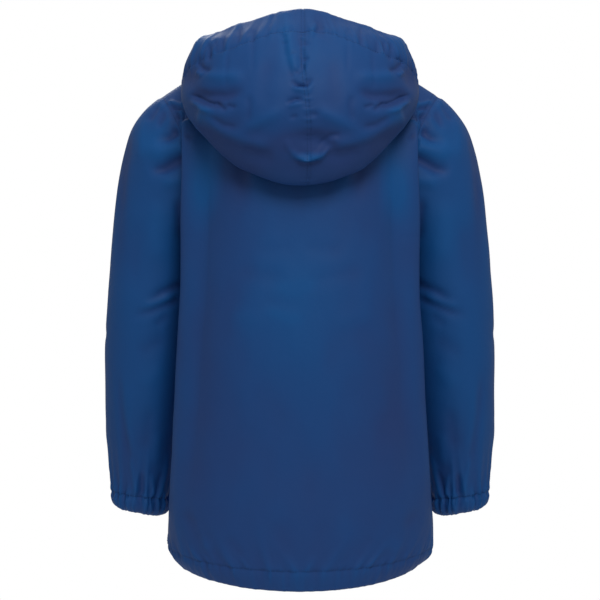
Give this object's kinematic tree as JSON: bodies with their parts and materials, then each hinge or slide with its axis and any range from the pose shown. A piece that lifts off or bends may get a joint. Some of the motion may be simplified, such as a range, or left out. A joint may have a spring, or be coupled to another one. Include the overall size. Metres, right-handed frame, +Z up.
{
  "type": "kids hooded raincoat",
  "caption": "Child's hooded raincoat in thin woven cloth, filled out as worn, with hood down, full-length zip, elastic cuffs and gathered hem.",
  "frame": {"origin": "middle of the neck opening, level with the neck ends of the shoulder seams, where the shoulders hold the coat", "axes": "+Z up, -Y out of the front with the zip, +Y out of the back, +X towards the wearer's left"},
  "size_m": [0.426, 0.2844, 0.587],
  "materials": {
    "shell_cloth": "royal blue coated taffeta, soft sheen",
    "zip_tape": "royal blue woven tape, matt",
    "zip_coil": "royal blue coil, satin",
    "zip_metal": "royal blue enamel, satin"
  },
  "bodies": {
    "coat": {"back": "shell_cloth", "hem_back": "shell_cloth", "front_left": "shell_cloth", "hem_front_left": "shell_cloth", "sleeve_left": "shell_cloth", "cuff_left": "shell_cloth", "hood_left": "shell_cloth", "hood_casing_left": "shell_cloth", "front_right": "shell_cloth", "hem_front_right": "shell_cloth", "sleeve_right": "shell_cloth", "cuff_right": "shell_cloth", "hood_right": "shell_cloth", "hood_casing_right": "shell_cloth", "zip_tape_left": "zip_tape", "zip_tape_right": "zip_tape", "zip_chain": "zip_coil", "zip_box": "zip_metal", "zip_slider": "zip_metal"},
    "pull_tab": {"zip_pull_tab": "zip_metal"}
  },
  "joints": [
    {"name": "pull_tab_swing", "type": "hinge", "parent": "coat", "child": "pull_tab", "pos_m": [0, -0.08998, -0.01881], "axis": [-1, 0, 0], "range_deg": [-6, 150]}
  ]
}
